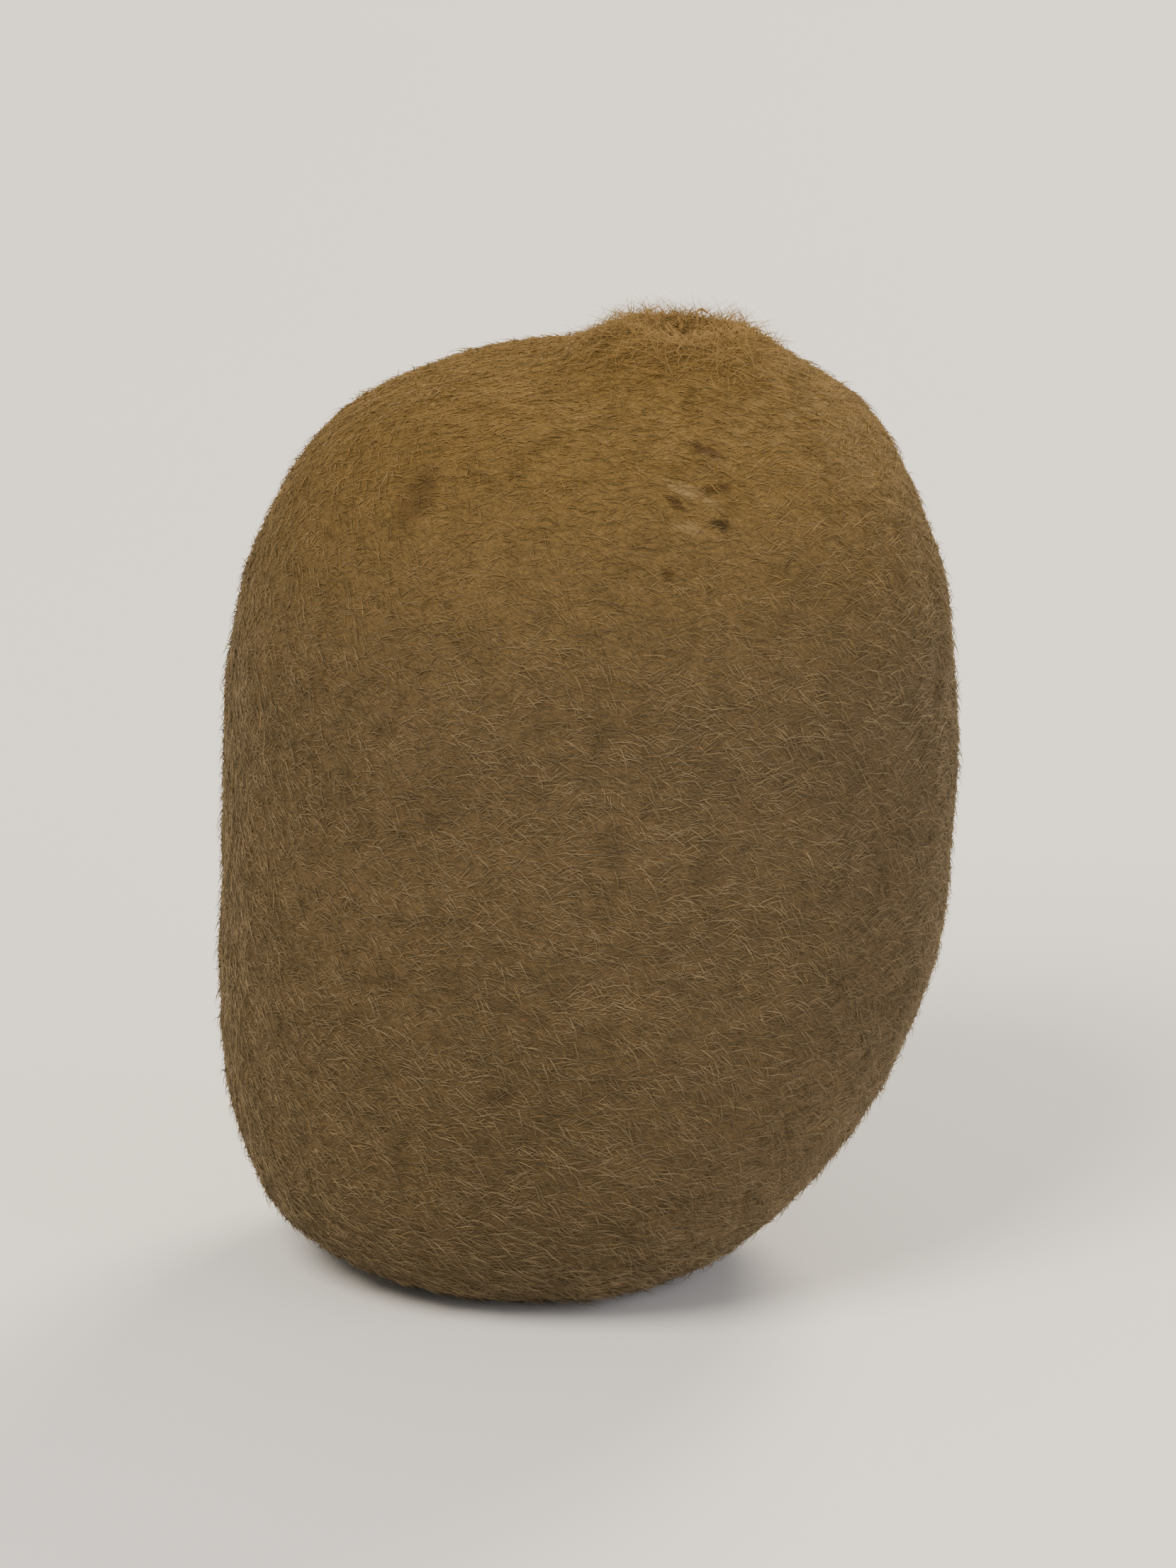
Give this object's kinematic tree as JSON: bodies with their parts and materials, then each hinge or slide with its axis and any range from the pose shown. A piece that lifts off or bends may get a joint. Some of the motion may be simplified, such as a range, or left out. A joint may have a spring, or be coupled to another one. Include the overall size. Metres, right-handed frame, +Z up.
{
  "type": "kiwi fruit",
  "caption": "Whole fuzzy brown kiwi fruit, standing on a small flat at its stalk end, with a low nub and dried styles on top.",
  "frame": {"origin": "on the resting surface, under the middle of the fruit", "axes": "+Z up, along the fruit from its stalk end to its blossom end; +X to the right, towards which the blossom end leans; +Y away from the front"},
  "size_m": [0.0506, 0.0468, 0.0687],
  "materials": {
    "kiwi_skin": "matte"
  },
  "bodies": {
    "root": {"kiwi_fruit": "kiwi_skin"}
  },
  "joints": []
}
